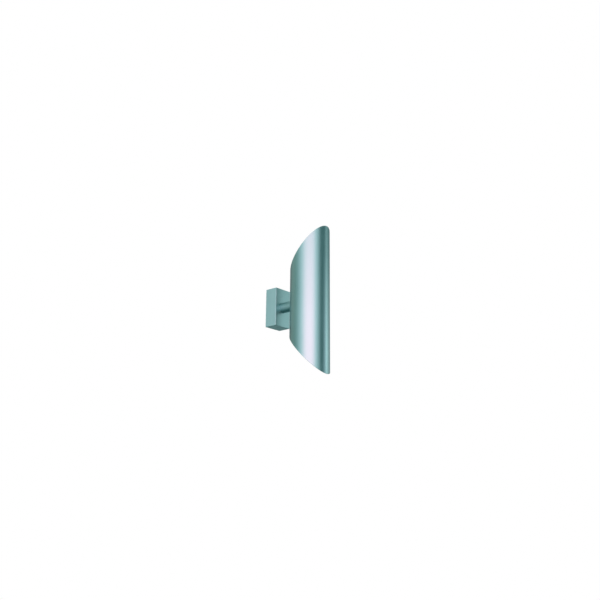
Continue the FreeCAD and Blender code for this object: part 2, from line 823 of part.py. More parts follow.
def make_lamp_glass():
    """The front glass in the reflector's rim."""
    ledge = lamp_length - lamp_glass_sink - lamp_glass_thickness
    diameter = lamp_diameter - 2 * lamp_rim_wall - 2 * slip
    return on_lamp_axis(along_z(diameter, 0, 0, ledge, ledge + lamp_glass_thickness))


# Leads

def lead(points):
    """A round insulated wire: straight runs joined by arcs."""
    edges = []
    here = points[0]
    for before, corner, after in zip(points, points[1:], points[2:]):
        run_in = corner - before
        run_out = after - corner
        turn = run_in.getAngle(run_out)
        room = 0.45 * min(run_in.Length, run_out.Length)
        radius = min(lead_bend, room / math.tan(turn / 2))
        reach = radius * math.tan(turn / 2)
        run_in.normalize()
        run_out.normalize()
        inward = run_out - run_in
        inward.normalize()
        start = corner - run_in * reach
        middle = corner + inward * (radius / math.cos(turn / 2) - radius)
        end = corner + run_out * reach
        edges.append(Part.makeLine(here, start))
        edges.append(Part.Arc(start, middle, end).toShape())
        here = end
    edges.append(Part.makeLine(here, points[-1]))
    path = Part.Wire(edges)
    circle = Part.makeCircle(lead_diameter / 2, points[0], points[1] - points[0])
    solid = path.makePipeShell([Part.Wire(circle)], True, False)
    section = math.pi * lead_diameter ** 2 / 4
    share = solid.Volume / section / path.Length
    print(f"lead {path.Length:.1f} mm long, volume over section times length {share:.3f}")
    return solid


def rise_through_arm(pole, beside, ring, layer):
    """The first points of a lead: out of a terminal, under the block, up in front of it in one
    of two layers, and through the threaded tube at one of five places round its axis."""
    start_z = block_height - block_length / 2
    turn_z = start_z - lead_bend - lead_diameter
    x = pole_places()[pole] + beside * lead_diameter * beside_share
    rise_y = block_front - rise_gap - lead_diameter / 2 - layer * (lead_diameter + 3 * slip)
    place = polar(lead_ring, 90 + 72 * ring)
    return [
        Vector(x, block_axis_y, start_z + past),
        Vector(x, block_axis_y, turn_z),
        Vector(x, rise_y, turn_z),
        Vector(place.x, rise_y, place.y - 2 * lead_bend),
        Vector(place.x, rise_y, place.y),
        Vector(place.x, nipple_finish - bush_flange - lead_bend, place.y),
    ]


def lamp_lead(pole, beside, ring, layer, contact_side, shelf_side):
    """A lead to one contact of the upper (shelf_side 1) or lower (-1) lampholder."""
    points = rise_through_arm(pole, beside, ring, layer)
    x = contact_side * pin_spacing / 2
    points.append(Vector(x, shade_middle, points[-1].z))
    points.append(Vector(x, shade_middle, shelf_side * (shelf_top + contact_recess)))
    return lead(points)


def make_live_leads():
    """The brown leads, one to each lampholder."""
    return [lamp_lead(0, -1, 1, 0, -1, 1), lamp_lead(0, 1, 2, 1, -1, -1)]


def make_neutral_leads():
    """The blue leads, one to each lampholder."""
    return [lamp_lead(1, -1, 0, 0, 1, 1), lamp_lead(1, 1, 3, 1, 1, -1)]


def make_earth_leads():
    """The green and yellow leads: through the threaded tube to the bracket, and to the wall plate."""
    to_bracket = rise_through_arm(2, -1, 4, 0)
    level = to_bracket[-1].z
    aside = pin_spacing / 2 + 3 * lead_diameter
    mouth = shelf_tag_place() + Vector(0, tag_diameter / 2 + tag_barrel_length, -tag_barrel / 2)
    to_bracket += [
        Vector(aside, shade_middle + pin_spacing + lead_bend, level),
        Vector(aside, mouth.y + 3 * lead_bend, level),
        Vector(mouth.x, mouth.y + lead_bend, mouth.z),
        mouth,
    ]
    entry = plate_tag_place() + Vector(0, -tag_barrel / 2, -tag_diameter / 2 - tag_barrel_length)
    x = pole_places()[2] + lead_diameter * beside_share
    top = block_height + block_length / 2
    to_plate = [
        Vector(x, block_axis_y, top - past),
        Vector(x, block_axis_y, top + lead_bend),
        Vector(entry.x, entry.y, entry.z - lead_bend),
        entry,
    ]
    return [lead(to_bracket), lead(to_plate)]


write("wall_plate", make_wall_plate())
write("cable_bush", make_cable_bush())
write("terminal_block", make_terminal_block())
write("terminal_inserts", make_terminal_inserts())
write("terminal_screws", make_terminal_screws())
write("block_screws", make_block_screws())
write("earth_tags", make_earth_tags())
write("earth_screws", make_earth_screws())
write("wall_box", make_wall_box())
write("box_screws", make_box_screws())
write("backing_plate", make_backing_plate())
write("stub_arm", make_stub_arm())
write("box_dowels", make_box_dowels())
write("shade_dowels", make_shade_dowels())
write("arm_nipple", make_arm_nipple())
write("nipple_nuts", make_nipple_nuts())
write("lock_washers", make_lock_washers())
write("nipple_bushes", make_nipple_bushes())
write("shade_tube", make_shade_tube())
write("saddle_block", make_saddle_block())
write("lamp_bracket", make_lamp_bracket())
write("upper_lampholder", make_upper_lampholder())
write("lower_lampholder", turned_down(make_upper_lampholder()))
write("holder_contacts", [piece for one in make_upper_contacts() for piece in both(one)])
write("holder_screws", [piece for one in make_holder_screws() for piece in both(one)])
write("pillars", [piece for one in make_pillars() for piece in both(one)])
write("pillar_screws", [piece for one in make_pillar_screws() for piece in both(one)])
write("upper_baffle", make_upper_baffle())
write("lower_baffle", turned_down(make_upper_baffle()))
write("baffle_screws", [piece for one in make_baffle_screws() for piece in both(one)])

lamp_pieces = {
    "base": [make_lamp_base()],
    "pins": make_lamp_pins(),
    "reflector": [make_lamp_reflector()],
    "capsule": [make_lamp_capsule()],
    "glass": [make_lamp_glass()],
}
for piece, solids in lamp_pieces.items():
    write(f"upper_lamp_{piece}", solids)
    write(f"lower_lamp_{piece}", [turned_down(solid) for solid in solids])

write("live_leads", make_live_leads())
write("neutral_leads", make_neutral_leads())
write("earth_leads", make_earth_leads())
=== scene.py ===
"""Finishes, lamp details and studio for a wall light that shines up and down.

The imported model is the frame: its pieces stay where they are and get their finish here. The
lamps' reflectors are replaced by faceted ones, and each lamp gets its filament. Metres; the
wall is the plane y = 0, the light stands out towards -y, and +z is up.
"""
import math
from typing import NamedTuple

import bmesh
import bpy
from bpy.props import FloatProperty, FloatVectorProperty, IntProperty, PointerProperty
from mathutils import Matrix, Vector


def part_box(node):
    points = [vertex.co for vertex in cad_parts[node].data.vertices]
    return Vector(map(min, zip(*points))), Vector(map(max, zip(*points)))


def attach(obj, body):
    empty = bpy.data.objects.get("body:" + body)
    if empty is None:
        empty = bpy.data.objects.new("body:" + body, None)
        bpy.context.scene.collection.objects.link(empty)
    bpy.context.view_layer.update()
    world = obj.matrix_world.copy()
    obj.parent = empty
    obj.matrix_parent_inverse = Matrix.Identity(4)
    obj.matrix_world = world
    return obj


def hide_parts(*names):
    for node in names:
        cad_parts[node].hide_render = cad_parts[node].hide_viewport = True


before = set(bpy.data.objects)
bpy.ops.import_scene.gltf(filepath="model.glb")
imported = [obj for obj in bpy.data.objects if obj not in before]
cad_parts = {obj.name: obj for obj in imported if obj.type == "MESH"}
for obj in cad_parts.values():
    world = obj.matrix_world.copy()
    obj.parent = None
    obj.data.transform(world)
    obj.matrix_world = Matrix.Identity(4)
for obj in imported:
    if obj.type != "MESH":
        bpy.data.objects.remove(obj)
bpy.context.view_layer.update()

bl_info = {
    "name": "Slanting Oval Wall Sconce",
    "version": (1, 0, 0),
    "blender": (4, 5, 0),
    "location": "3D View > Sidebar > Sconce",
    "description": "Finishes, lamp details and a soft studio for an up and down wall sconce",
    "category": "Object",
}

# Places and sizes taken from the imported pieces

TUBE_LOW, TUBE_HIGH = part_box("shade_tube")
TUBE_AXIS_Y = (TUBE_LOW.y + TUBE_HIGH.y) / 2
LAMP_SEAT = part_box("upper_lamp_base")[0].z
LAMP_RIM = (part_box("upper_lamp_reflector")[1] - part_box("upper_lamp_reflector")[0]).x / 2
LAMP_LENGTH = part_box("upper_lamp_reflector")[1].z - LAMP_SEAT
CAPSULE_RADIUS = (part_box("upper_lamp_capsule")[1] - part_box("upper_lamp_capsule")[0]).x / 2
HALF_TURN = Matrix.Rotation(math.pi, 4, "Y")    # takes the upper lamp to the lower one's place


# Sizes and colours a user would change

def colour_choice(name, description, default):
    """A colour property."""
    return FloatVectorProperty(name=name, description=description, subtype="COLOR", size=3,
                               min=0.0, max=1.0, default=default)


class SconceFinishes(bpy.types.PropertyGroup):
    """Colours and surface qualities of the light's materials."""
    satin_colour: colour_choice("Satin aluminium", "Colour of the tube, the arm and the wall box",
                                (0.30, 0.49, 0.49))
    satin_roughness: FloatProperty(name="Satin roughness", subtype="FACTOR", min=0.0, max=1.0,
                                   default=0.30,
                                   description="How widely the satin aluminium spreads a reflection")
    grain_width: FloatProperty(name="Grain width", subtype="DISTANCE", unit="LENGTH", min=0.00005,
                               default=0.0004,
                               description="Width of one brushing line on the aluminium")
    baffle_colour: colour_choice("Baffle aluminium", "Colour of the plates round the lamps",
                                 (0.60, 0.64, 0.65))
    steel_colour: colour_choice("Zinc plated steel", "Colour of plates, brackets, screws and nuts",
                                (0.55, 0.57, 0.58))
    brass_colour: colour_choice("Brass", "Colour of the terminals and contacts", (0.78, 0.56, 0.25))
    ceramic_colour: colour_choice("Ceramic", "Colour of lampholders and lamp feet", (0.80, 0.78, 0.72))
    plastic_colour: colour_choice("Terminal plastic", "Colour of the terminal block and the lead bushes",
                                  (0.72, 0.70, 0.62))
    rubber_colour: colour_choice("Rubber", "Colour of the cable bush", (0.02, 0.02, 0.022))
    mirror_colour: colour_choice("Lamp mirror", "Colour of the lamps' faceted reflectors",
                                 (0.82, 0.83, 0.86))
    glass_colour: colour_choice("Lamp glass", "Colour of front glasses and capsules",
                                (0.97, 0.98, 0.98))
    filament_colour: colour_choice("Filament", "Colour of the filament wire", (0.30, 0.28, 0.26))
    live_colour: colour_choice("Live lead", "Colour of the live leads' insulation",
                               (0.17, 0.07, 0.035))
    neutral_colour: colour_choice("Neutral lead", "Colour of the neutral leads' insulation",
                                  (0.03, 0.13, 0.42))
    earth_green: colour_choice("Earth lead, green", "First colour of the earth leads",
                               (0.03, 0.26, 0.06))
    earth_yellow: colour_choice("Earth lead, yellow", "Second colour of the earth leads",
                                (0.72, 0.60, 0.04))


class SconceLampSizes(bpy.types.PropertyGroup):
    """Sizes of what the lamps are made of."""
    facets_round: IntProperty(name="Facets round", min=8, max=60, default=28,
                              description="Facets in one ring of a reflector")
    facet_rings: IntProperty(name="Facet rings", min=2, max=16, default=8,
                             description="Rings of facets from the throat to the rim")
    facet_depth: FloatProperty(name="Facet depth", subtype="DISTANCE", unit="LENGTH", min=0.0,
                               default=0.00022, description="How deep each facet is hollowed")
    filament_turns: IntProperty(name="Filament turns", min=3, max=60, default=16,
                                description="Turns of the coiled filament")
    filament_length: FloatProperty(name="Filament length", subtype="DISTANCE", unit="LENGTH",
                                   min=0.001, default=0.0075,
                                   description="Length of the coil along the lamp's axis")
    filament_radius: FloatProperty(name="Filament radius", subtype="DISTANCE", unit="LENGTH",
                                   min=0.0002, default=0.0008,
                                   description="Radius on which the coil is wound")
    filament_wire: FloatProperty(name="Filament wire", subtype="DISTANCE", unit="LENGTH",
                                 min=0.00005, default=0.00020,
                                 description="Thickness of the filament's wire")
    support_wire: FloatProperty(name="Support wire", subtype="DISTANCE", unit="LENGTH",
                                min=0.0001, default=0.0005,
                                description="Thickness of the wires that carry the filament")


class SconceStage(bpy.types.PropertyGroup):
    """Camera, lights and floor."""
    view_azimuth: FloatProperty(name="View azimuth", subtype="ANGLE", default=math.radians(-48.856),
                                description="Bearing of the camera, where 0 is straight in front")
    view_elevation: FloatProperty(name="View elevation", subtype="ANGLE",
                                  default=math.radians(-16.769),
                                  description="Height of the camera's place above the horizon")
    view_roll: FloatProperty(name="View roll", subtype="ANGLE", default=math.radians(0.530),
                             description="Turn of the camera about its own line of sight")
    view_distance: FloatProperty(name="View distance", subtype="DISTANCE", unit="LENGTH", min=0.1,
                                 default=1.81534,
                                 description="Distance from the camera to the point it aims at")
    view_aim: FloatVectorProperty(name="View aim", subtype="TRANSLATION", size=3,
                                  default=(-0.01697, -0.10799, 0.00418),
                                  description="Point that the camera aims at")
    focal_length: FloatProperty(name="Focal length", min=10.0, default=43.545,
                                description="Focal length in millimetres on a 36 mm wide frame")
    key_level: FloatProperty(name="Key level", min=0.0, default=1.8,
                             description="Brightness of the large soft light at the left, 1 is white")
    fill_level: FloatProperty(name="Fill level", min=0.0, default=1.1,
                              description="Brightness of the narrow soft light at the right, 1 is white")
    surround_level: FloatProperty(name="Surround level", min=0.0, default=0.55,
                                  description="How strongly the white surroundings light matt surfaces")
    floor_colour: colour_choice("Floor", "Colour of the floor", (0.92, 0.92, 0.91))
    floor_height: FloatProperty(name="Floor height", subtype="DISTANCE", unit="LENGTH",
                                default=-0.95,
                                description="Height of the floor, measured from the light's middle")


# Finishes

ALONG_X, ALONG_Y, ALONG_Z = 0, 1, 2
NOISE_ROUGHNESS = 0.55       # how much of a pattern's finest detail is kept
NOISE_RANGE = (0.3, 0.7)     # nearly all of a pattern lies between these
LINE_LENGTH = 300            # of a brushing line, in its own widths
STREAK_WIDTH = 8             # of the streaks between the lines, in widths of a line
STREAK_LENGTH = 0.35         # in metres, longer than most pieces
BAFFLE_ROUGHNESS = 0.34      # of the plates round the lamps and the seat in the tube

# Painted light and shade: the wall box's aluminium is painted lighter and the arm's darker than the
# tube's, though all are one metal; the box is also duller and its grain stronger
BOX_PAINTED_LIGHT, BOX_DULLING, BOX_CONTRAST = 1.15, 0.14, 0.10
ARM_PAINTED_SHADE = 0.93


def empty_material(name):
    """A material without nodes, and its node tree."""
    material = bpy.data.materials.new(name)
    material.use_nodes = True
    material.node_tree.nodes.clear()
    return material, material.node_tree


def map_range(tree, value, old, new, curve="LINEAR"):
    """A value that runs over one range, made to run over another."""
    node = tree.nodes.new("ShaderNodeMapRange")
    node.interpolation_type = curve
    for socket, number in zip(("From Min", "From Max", "To Min", "To Max"), (*old, *new)):
        node.inputs[socket].default_value = number
    tree.links.new(value, node.inputs["Value"])
    return node.outputs["Result"]


def calculate(tree, operation, first, second):
    """Two values joined by one step of arithmetic."""
    node = tree.nodes.new("ShaderNodeMath")
    node.operation = operation
    tree.links.new(first, node.inputs[0])
    tree.links.new(second, node.inputs[1])
    return node.outputs["Value"]


class Finish:
    """One surface finish. Its textures lie in the piece's own space, so they move with it."""

    def __init__(self, name, **constants):
        self.material, self.tree = empty_material(name)
        self.shader = self.tree.nodes.new("ShaderNodeBsdfPrincipled")
        output = self.tree.nodes.new("ShaderNodeOutputMaterial")
        self.tree.links.new(self.shader.outputs["BSDF"], output.inputs["Surface"])
        self.space = self.tree.nodes.new("ShaderNodeTexCoord").outputs["Object"]
        for socket, value in constants.items():
            self.shader.inputs[socket.replace("_", " ")].default_value = value

    def pattern(self, cell, detail=3.0):
        """Noise between 0 and 1 whose cells have the given size along x, y and z."""
        mapping = self.tree.nodes.new("ShaderNodeMapping")
        mapping.inputs["Scale"].default_value = [1 / length for length in cell]
        self.tree.links.new(self.space, mapping.inputs["Vector"])
        noise = self.tree.nodes.new("ShaderNodeTexNoise")
        noise.inputs["Scale"].default_value = 1.0
        noise.inputs["Detail"].default_value = detail
        noise.inputs["Roughness"].default_value = NOISE_ROUGHNESS
        self.tree.links.new(mapping.outputs["Vector"], noise.inputs["Vector"])
        return noise.outputs["Fac"]

    def spread(self, value, low, high):
        """A pattern spread over low to high."""
        return map_range(self.tree, value, NOISE_RANGE, (low, high))

    def mix(self, first, second, share=0.5):
        """Two patterns mixed, by a fixed share or by a third pattern."""
        node = self.tree.nodes.new("ShaderNodeMix")
        if isinstance(share, float):
            node.inputs["Factor"].default_value = share
        else:
            self.tree.links.new(share, node.inputs["Factor"])
        self.tree.links.new(first, node.inputs["A"])
        self.tree.links.new(second, node.inputs["B"])
        return node.outputs["Result"]

    def on_sides(self):
        """1 on faces that look along x, 0 on those that look along y or z."""
        parts = self.tree.nodes.new("ShaderNodeSeparateXYZ")
        self.tree.links.new(self.space.node.outputs["Normal"], parts.inputs["Vector"])
        size = self.tree.nodes.new("ShaderNodeMath")
        size.operation = "ABSOLUTE"
        self.tree.links.new(parts.outputs["X"], size.inputs[0])
        return size.outputs["Value"]

    def paint(self, value, dark, light):
        """The base colour runs from one colour to another with a pattern."""
        ramp = self.tree.nodes.new("ShaderNodeValToRGB")
        ramp.color_ramp.elements[0].color = (*dark, 1)
        ramp.color_ramp.elements[1].color = (*light, 1)
        self.tree.links.new(value, ramp.inputs["Fac"])
        self.tree.links.new(ramp.outputs["Color"], self.shader.inputs["Base Color"])
        return ramp

    def roughen(self, value, low, high):
        """The roughness follows a pattern."""
        self.tree.links.new(self.spread(value, low, high), self.shader.inputs["Roughness"])

    def emboss(self, value, depth, strength):
        """The surface rises and falls with a pattern."""
        node = self.tree.nodes.new("ShaderNodeBump")
        node.inputs["Distance"].default_value = depth
        node.inputs["Strength"].default_value = strength
        self.tree.links.new(value, node.inputs["Height"])
        self.tree.links.new(node.outputs["Normal"], self.shader.inputs["Normal"])


def shaded(colour, share):
    """A colour made darker or lighter."""
    return tuple(min(1.0, channel * share) for channel in colour)


def brush_marks(finish, width, axis):
    """Fine lines and wider streaks along one axis of the frame."""
    line, streak = [width] * 3, [STREAK_WIDTH * width] * 3
    line[axis], streak[axis] = LINE_LENGTH * width, STREAK_LENGTH
    return finish.mix(finish.pattern(line, detail=2.0), finish.pattern(streak, detail=2.0))


def satin_aluminium(name, colour, roughness, grain_width, grain_axis, side_axis=None,
                    contrast=0.055):
    """Satin anodised aluminium, brushed along one axis, and its sides along another if given."""
    finish = Finish(name, Metallic=1.0, IOR=1.5)
    grain = brush_marks(finish, grain_width, grain_axis)
    if side_axis is not None:
        grain = finish.mix(grain, brush_marks(finish, grain_width, side_axis), finish.on_sides())
    clouds = finish.pattern((0.05, 0.05, 0.09))
    tone = finish.mix(finish.spread(grain, 0, 1), finish.spread(clouds, 0, 1), share=0.45)
    finish.paint(tone, shaded(colour, 1 - contrast), shaded(colour, 1 + contrast))
    finish.roughen(finish.mix(grain, clouds, share=0.35), roughness - 0.04, roughness + 0.05)
    finish.emboss(grain, depth=0.000012, strength=0.6)
    return finish.material


def zinc_steel(name, colour):
    """Zinc plated steel: fine crystals, a faint blue and yellow bloom, dull finger marks."""
    finish = Finish(name, Metallic=1.0)
    crystals = finish.pattern((0.0011, 0.0011, 0.0011), detail=2.0)
    bloom = finish.pattern((0.022, 0.017, 0.022), detail=4.0)
    ramp = finish.paint(finish.spread(bloom, 0, 1), shaded(colour, 0.88), shaded(colour, 1.10))
    warm = ramp.color_ramp.elements.new(0.55)
    warm.color = (colour[0] * 1.03, colour[1] * 0.99, colour[2] * 0.90, 1)
    finish.roughen(finish.mix(crystals, bloom, share=0.6), 0.24, 0.44)
    finish.emboss(crystals, depth=0.00002, strength=0.5)
    return finish.material


def brass(name, colour):
    """Turned brass with a thin brown tarnish."""
    finish = Finish(name, Metallic=1.0)
    rings = finish.pattern((0.004, 0.0002, 0.0002), detail=2.0)
    tarnish = finish.pattern((0.004, 0.004, 0.004), detail=4.0)
    finish.paint(finish.spread(tarnish, 0, 1), shaded(colour, 0.70), colour)
    finish.roughen(finish.mix(rings, tarnish), 0.20, 0.42)
    finish.emboss(rings, depth=0.00001, strength=0.5)
    return finish.material


def fired_ceramic(name, colour):
    """Unglazed steatite: fine pores, faint clouding, a dull sheen."""
    finish = Finish(name, Specular_IOR_Level=0.45)
    pores = finish.pattern((0.0004, 0.0004, 0.0004))
    clouds = finish.pattern((0.012, 0.012, 0.012), detail=4.0)
    finish.paint(finish.spread(clouds, 0, 1), shaded(colour, 0.90), shaded(colour, 1.04))
    finish.roughen(finish.mix(pores, clouds), 0.38, 0.58)
    finish.emboss(pores, depth=0.00003, strength=0.6)
    return finish.material


def moulded_plastic(name, colour, roughness=0.42):
    """Moulded plastic with a fine eroded texture and slight sink marks."""
    finish = Finish(name, IOR=1.5)
    texture = finish.pattern((0.0005, 0.0005, 0.0005), detail=2.0)
    sinks = finish.pattern((0.009, 0.009, 0.009), detail=2.0)
    finish.paint(finish.spread(sinks, 0, 1), shaded(colour, 0.92), shaded(colour, 1.05))
    finish.roughen(finish.mix(texture, sinks), roughness - 0.07, roughness + 0.08)
    finish.emboss(finish.mix(texture, sinks, share=0.6), depth=0.00004, strength=0.5)
    return finish.material


def black_rubber(name, colour):
    """Dull rubber with a grey bloom."""
    finish = Finish(name, Specular_IOR_Level=0.3)
    bloom = finish.pattern((0.003, 0.003, 0.003), detail=5.0)
    finish.paint(finish.spread(bloom, 0, 1), shaded(colour, 0.8), shaded(colour, 2.2))
    finish.roughen(bloom, 0.62, 0.82)
    finish.emboss(bloom, depth=0.00008, strength=0.5)
    return finish.material


def coated_mirror(name, colour):
    """The vacuum coated inside of a reflector, with a faint warm and cool drift."""
    finish = Finish(name, Metallic=1.0)
    drift = finish.pattern((0.016, 0.016, 0.016), detail=2.0)
    haze = finish.pattern((0.0008, 0.0008, 0.0008))
    ramp = finish.paint(finish.spread(drift, 0, 1), (colour[0], colour[1] * 0.97, colour[2] * 0.93),
                        (colour[0] * 0.95, colour[1], colour[2]))
    ramp.color_ramp.elements.new(0.5).color = (*colour, 1)
    finish.roughen(haze, 0.06, 0.14)
    finish.emboss(haze, depth=0.000004, strength=0.3)
    return finish.material


def pressed_glass(name, colour):
    """Clear pressed glass with faint waves and dust."""
    finish = Finish(name, Transmission_Weight=1.0, IOR=1.46)
    waves = finish.pattern((0.011, 0.011, 0.011), detail=2.0)
    dust = finish.pattern((0.0006, 0.0006, 0.0006), detail=4.0)
    finish.paint(finish.spread(dust, 0, 1), shaded(colour, 0.97), colour)
    finish.roughen(dust, 0.015, 0.07)
    finish.emboss(waves, depth=0.00006, strength=0.3)
    return finish.material


def filament_wire(name, colour):
    """Drawn tungsten wire, dull from burning."""
    finish = Finish(name, Metallic=1.0)
    marks = finish.pattern((0.0003, 0.0003, 0.0003))
    finish.paint(marks, shaded(colour, 0.7), shaded(colour, 1.2))
    finish.roughen(marks, 0.35, 0.55)
    finish.emboss(marks, depth=0.00001, strength=0.4)
    return finish.material


def lead_insulation(name, colour):
    """Soft wire insulation of one colour, with fine rubbing marks."""
    return moulded_plastic(name, colour, 0.36)


def striped_insulation(name, green, yellow):
    """Green and yellow earth insulation, the two colours winding round the wire."""
    finish = Finish(name, IOR=1.5)
    wave = finish.tree.nodes.new("ShaderNodeTexWave")
    wave.bands_direction = "DIAGONAL"
    wave.inputs["Scale"].default_value = 55.0
    wave.inputs["Distortion"].default_value = 0.4
    finish.tree.links.new(finish.space, wave.inputs["Vector"])
    ramp = finish.paint(wave.outputs["Fac"], green, yellow)
    ramp.color_ramp.elements[0].position = 0.47
    ramp.color_ramp.elements[1].position = 0.53
    marks = finish.pattern((0.0007, 0.0007, 0.0007))
    finish.roughen(marks, 0.30, 0.46)
    finish.emboss(marks, depth=0.00003, strength=0.4)
    return finish.material


def finish_nodes(material, *names):
    """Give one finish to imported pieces."""
    for name in names:
        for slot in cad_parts[name].material_slots:
            slot.material = material


# Mesh helpers

def mesh_piece(name, build, material, body):
    """Make a mesh piece with the given material that rides on a body."""
    mesh = bpy.data.meshes.new(name)
    form = bmesh.new()
    build(form)
    bmesh.ops.recalc_face_normals(form, faces=form.faces)
    form.to_mesh(mesh)
    form.free()
    for polygon in mesh.polygons:
        polygon.use_smooth = True
    mesh.materials.append(material)
    piece = bpy.data.objects.new(name, mesh)
    bpy.context.scene.collection.objects.link(piece)
    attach(piece, body)
    return piece


def arc_points(start, middle, end, count):
    """Points along the arc through three points in a plane, both ends included."""
    (ax, ay), (bx, by), (cx, cy) = start, middle, end
    twice = 2 * (ax * (by - cy) + bx * (cy - ay) + cx * (ay - by))
    squares = [x * x + y * y for x, y in (start, middle, end)]
    ux = (squares[0] * (by - cy) + squares[1] * (cy - ay) + squares[2] * (ay - by)) / twice
    uy = (squares[0] * (cx - bx) + squares[1] * (ax - cx) + squares[2] * (bx - ax)) / twice
    radius = math.hypot(ax - ux, ay - uy)
    first = math.atan2(ay - uy, ax - ux)
    sweep = math.atan2(cy - uy, cx - ux) - first
    middle_turn = (math.atan2(by - uy, bx - ux) - first) % (2 * math.pi)
    if not 0 < middle_turn < sweep % (2 * math.pi):
        sweep = -((-sweep) % (2 * math.pi))
    else:
        sweep %= 2 * math.pi
    turns = [first + sweep * k / (count - 1) for k in range(count)]
    return [(ux + radius * math.cos(turn), uy + radius * math.sin(turn)) for turn in turns]


def ring_faces(form, rings, closed):
    """Faces between rings of vertices, and from the last ring to the first if it is closed."""
    for first, second in zip(rings, rings[1:] + rings[:1] if closed else rings[1:]):
        for k in range(len(first)):
            after = (k + 1) % len(first)
            form.faces.new((first[k], first[after], second[after], second[k]))


def sweep_wire(form, points, thickness, sides=8):
    """A round wire along a line of points, closed at both ends."""
    rings = []
    aside = None
    for k, point in enumerate(points):
        ahead = (points[min(k + 1, len(points) - 1)] - points[max(k - 1, 0)]).normalized()
        if aside is None:
            aside = ahead.orthogonal().normalized()
        aside = (aside - ahead * aside.dot(ahead)).normalized()
        across = ahead.cross(aside)
        ring = []
        for j in range(sides):
            turn = 2 * math.pi * j / sides
            ring.append(form.verts.new(point + (aside * math.cos(turn) + across * math.sin(turn))
                                       * thickness / 2))
        rings.append(ring)
    ring_faces(form, rings, closed=False)
    form.faces.new(rings[0][::-1])
    form.faces.new(rings[-1])


# Lamp pieces, made standing on the origin with the seat at z = 0

FACET_STEPS = 6          # mesh steps along and across one facet
FLARE_POINTS = 20        # along the outside of the reflector
COIL_STEPS = 14          # wire segments in one turn of the filament
COIL_MIDDLE = 0.47       # height of the filament's middle, as a share of the lamp's length
SUPPORT_FOOT = 0.165     # height at which the support wires start, as a share of the same
NEAR_SUPPORT = 1.6       # distance of the near support wire from the axis, in radii of the coil
FAR_SUPPORT = 0.55       # distance of the far one, as a share of the capsule's radius
BEND_BELOW = 0.001       # metres below the coil at which the near wire bends in
BEND_ABOVE = 0.0006      # metres above the coil's end to which the far wire rises on its way in


def dish(share):
    """0 at both edges of a facet, 1 in its middle."""
    return 4 * share * (1 - share)


def faceted_reflector(sizes, form):
    """The reflector's shell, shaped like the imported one. Its inside is hollowed into rings of facets."""
    unit = LAMP_LENGTH / 50                                  # a millimetre, if the lamp is 50 long
    low, flare, ledge = 12 * unit, 44 * unit, 46.5 * unit    # heights of neck, rim and glass seat
    neck, throat = 12 * unit, 5 * unit                       # radii of the neck, outside and inside
    seat, rim = LAMP_RIM - 1.6 * unit, LAMP_RIM              # radii of the rim, inside and outside
    edge = 0.3 * unit                                        # rounding of the rim's edges
    bulge = (neck + 0.6 * (rim - neck), low + 0.39 * (flare - low))
    outside = arc_points((neck, low), bulge, (rim, flare), FLARE_POINTS)
    lip = [(rim, LAMP_LENGTH - edge), (rim - 0.3 * edge, LAMP_LENGTH - 0.3 * edge),
           (rim - edge, LAMP_LENGTH), (seat + edge, LAMP_LENGTH), (seat, LAMP_LENGTH - edge),
           (seat, ledge), (seat - unit, ledge)]
    cells = sizes.facet_rings * FACET_STEPS
    hollow = (throat + 0.64 * (seat - throat), low + 0.42 * (flare - low))
    inside = arc_points((seat - unit, flare), hollow, (throat, low + 4 * unit), cells + 1)
    steps = sizes.facets_round * FACET_STEPS
    profile = [(point, None) for point in outside + lip]
    profile += [(point, k / cells) for k, point in enumerate(inside)]
    profile += [((throat, low), None)]
    rings = []
    for index, ((radius, height), share) in enumerate(profile):
        before = profile[index - 1][0]
        after = profile[(index + 1) % len(profile)][0]
        along = Vector((after[0] - before[0], after[1] - before[1])).normalized()
        ring = []
        for k in range(steps):
            turn = 2 * math.pi * k / steps
            depth = 0.0
            if share is not None:
                row = share * sizes.facet_rings
                shift = 0.5 * (int(row) % 2)
                column = k / FACET_STEPS + shift
                depth = sizes.facet_depth * dish(row % 1) * dish(column % 1)
            r = radius + depth * abs(along.y)
            z = height - depth * abs(along.x)
            ring.append(form.verts.new((r * math.cos(turn), r * math.sin(turn), z)))
        rings.append(ring)
    ring_faces(form, rings, closed=True)


def filament(sizes, form):
    """The coiled filament on its two support wires."""
    middle = LAMP_LENGTH * COIL_MIDDLE
    low = middle - sizes.filament_length / 2
    steps = sizes.filament_turns * COIL_STEPS
    coil = []
    for k in range(steps + 1):
        turn = 2 * math.pi * sizes.filament_turns * k / steps
        coil.append(Vector((sizes.filament_radius * math.cos(turn),
                            sizes.filament_radius * math.sin(turn),
                            low + sizes.filament_length * k / steps)))
    sweep_wire(form, coil, sizes.filament_wire, sides=6)
    foot = LAMP_LENGTH * SUPPORT_FOOT
    near = NEAR_SUPPORT * sizes.filament_radius
    sweep_wire(form, [Vector((near, 0, foot)), Vector((near, 0, low - BEND_BELOW)),
                      Vector((sizes.filament_radius, 0, low))], sizes.support_wire)
    far = Vector((-CAPSULE_RADIUS * FAR_SUPPORT, 0, low + sizes.filament_length))
    sweep_wire(form, [Vector((far.x, 0, foot)), far,
                      Vector((-sizes.filament_radius, 0, far.z + BEND_ABOVE)),
                      Vector((sizes.filament_radius, 0, far.z))], sizes.support_wire)


# Operators

class SconceStep(bpy.types.Operator):
    """Shared base of the sconce's operators."""
    bl_options = {"REGISTER", "UNDO"}


class SCONCE_OT_shade_tube(SconceStep):
    """Finish the slanting oval tube"""
    bl_idname = "sconce.shade_tube"
    bl_label = "Oval Tube"

    def execute(self, context):
        choice = context.scene.sconce_finishes
        finish_nodes(satin_aluminium("satin_aluminium_tube", choice.satin_colour, choice.satin_roughness,
                                     choice.grain_width, ALONG_Z), "shade_tube")
        return {"FINISHED"}


